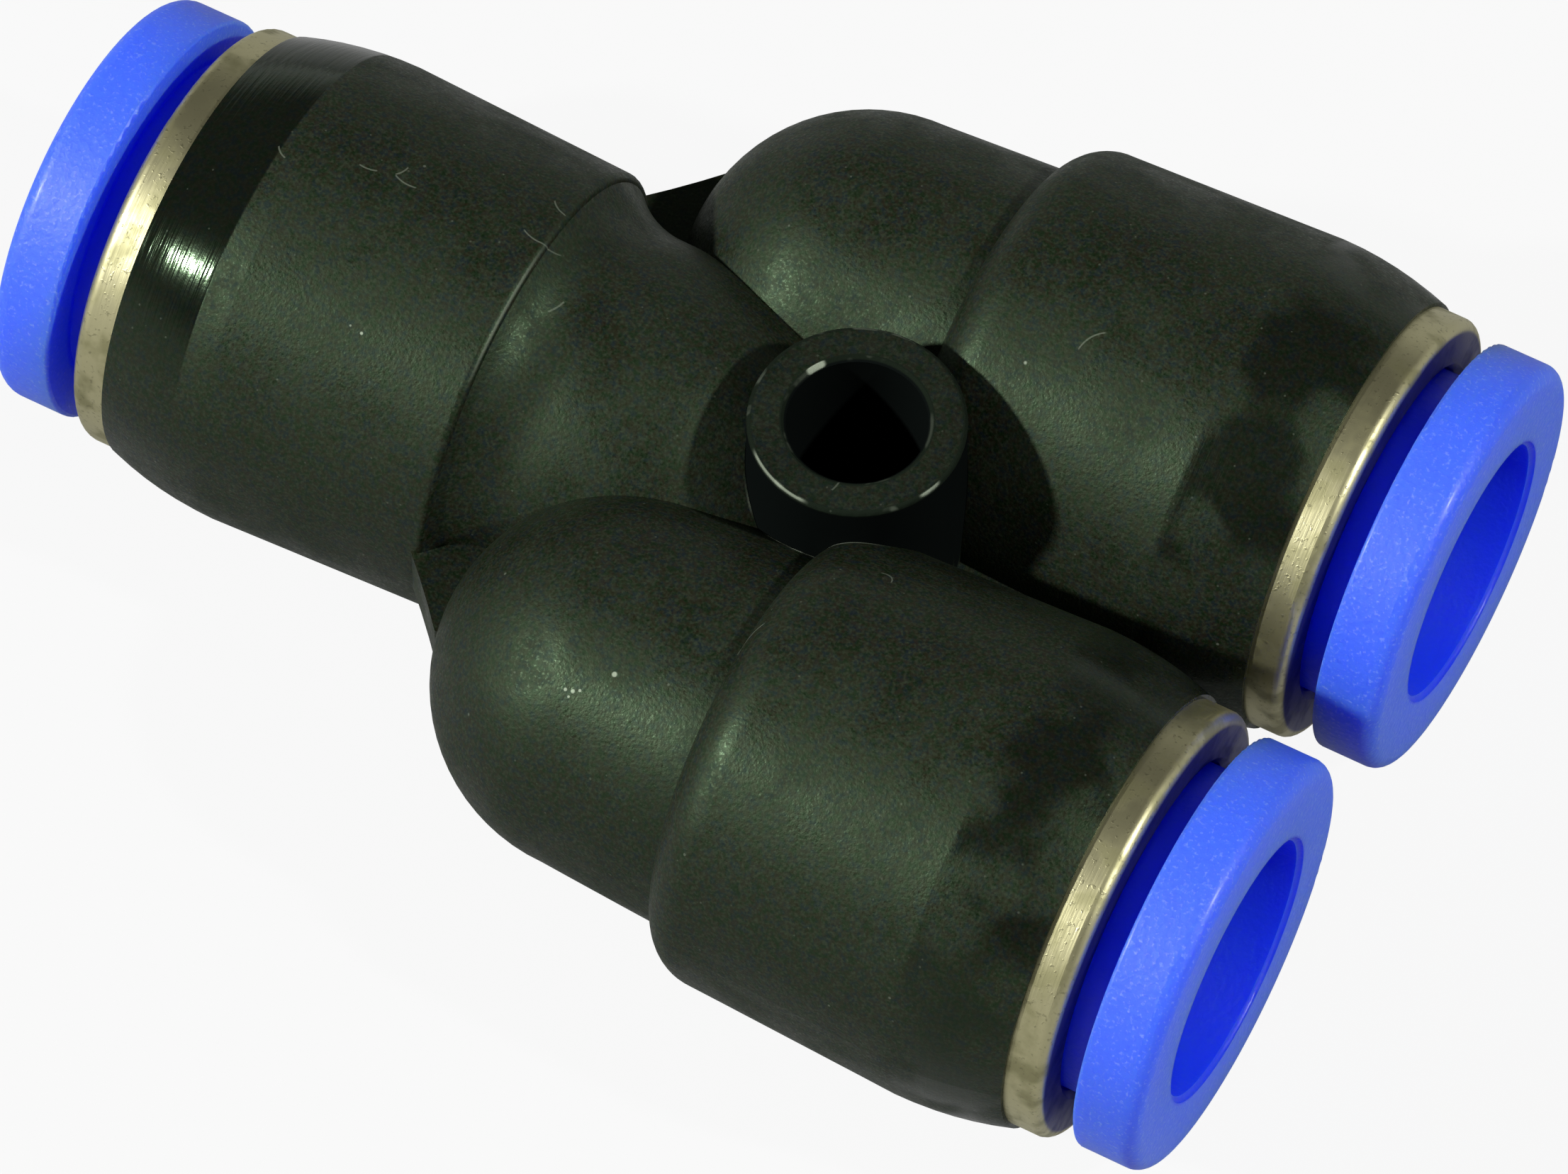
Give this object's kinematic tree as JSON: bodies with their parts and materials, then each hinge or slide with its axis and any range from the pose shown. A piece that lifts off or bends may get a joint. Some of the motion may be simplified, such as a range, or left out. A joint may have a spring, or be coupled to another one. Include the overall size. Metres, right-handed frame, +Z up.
{
  "type": "tubing y connector",
  "caption": "Push-in Y connector for 8 mm tube: black moulded body with an inlet, parallel outlets, a mounting boss and blue release sleeves.",
  "frame": {"origin": "on the axis of the mounting hole, half-way up the boss, in the plane of the tube axes", "axes": "+X from the inlet towards the outlets, +Y across the outlets towards the left one, +Z up along the mounting hole"},
  "size_m": [0.0427, 0.0304, 0.015],
  "materials": {
    "body_plastic": "fine spark-eroded texture, smoother end bands",
    "sleeve_plastic": "satin blue moulding",
    "plated_brass": "nickel plated, satin",
    "claw_steel": "stamped stainless sheet",
    "ring_plastic": "natural moulding",
    "seal_rubber": "greased moulded rubber"
  },
  "bodies": {
    "fitting_body": {"body": "body_plastic", "inlet_cap_ring": "plated_brass", "inlet_lock_claw": "claw_steel", "inlet_back_ring": "ring_plastic", "inlet_seal_ring": "seal_rubber", "left_outlet_cap_ring": "plated_brass", "left_outlet_lock_claw": "claw_steel", "left_outlet_back_ring": "ring_plastic", "left_outlet_seal_ring": "seal_rubber", "right_outlet_cap_ring": "plated_brass", "right_outlet_lock_claw": "claw_steel", "right_outlet_back_ring": "ring_plastic", "right_outlet_seal_ring": "seal_rubber"},
    "inlet_sleeve": {"inlet_release_sleeve": "sleeve_plastic"},
    "left_outlet_sleeve": {"left_outlet_release_sleeve": "sleeve_plastic"},
    "right_outlet_sleeve": {"right_outlet_release_sleeve": "sleeve_plastic"}
  },
  "joints": [
    {"name": "inlet_release", "type": "slide", "parent": "fitting_body", "child": "inlet_sleeve", "axis": [1, 0, 0], "range_m": [0, 0.0009], "stiffness_N_per_m": 3000},
    {"name": "left_outlet_release", "type": "slide", "parent": "fitting_body", "child": "left_outlet_sleeve", "axis": [-1, 0, 0], "range_m": [0, 0.0009], "stiffness_N_per_m": 3000},
    {"name": "right_outlet_release", "type": "slide", "parent": "fitting_body", "child": "right_outlet_sleeve", "axis": [-1, 0, 0], "range_m": [0, 0.0009], "stiffness_N_per_m": 3000}
  ]
}
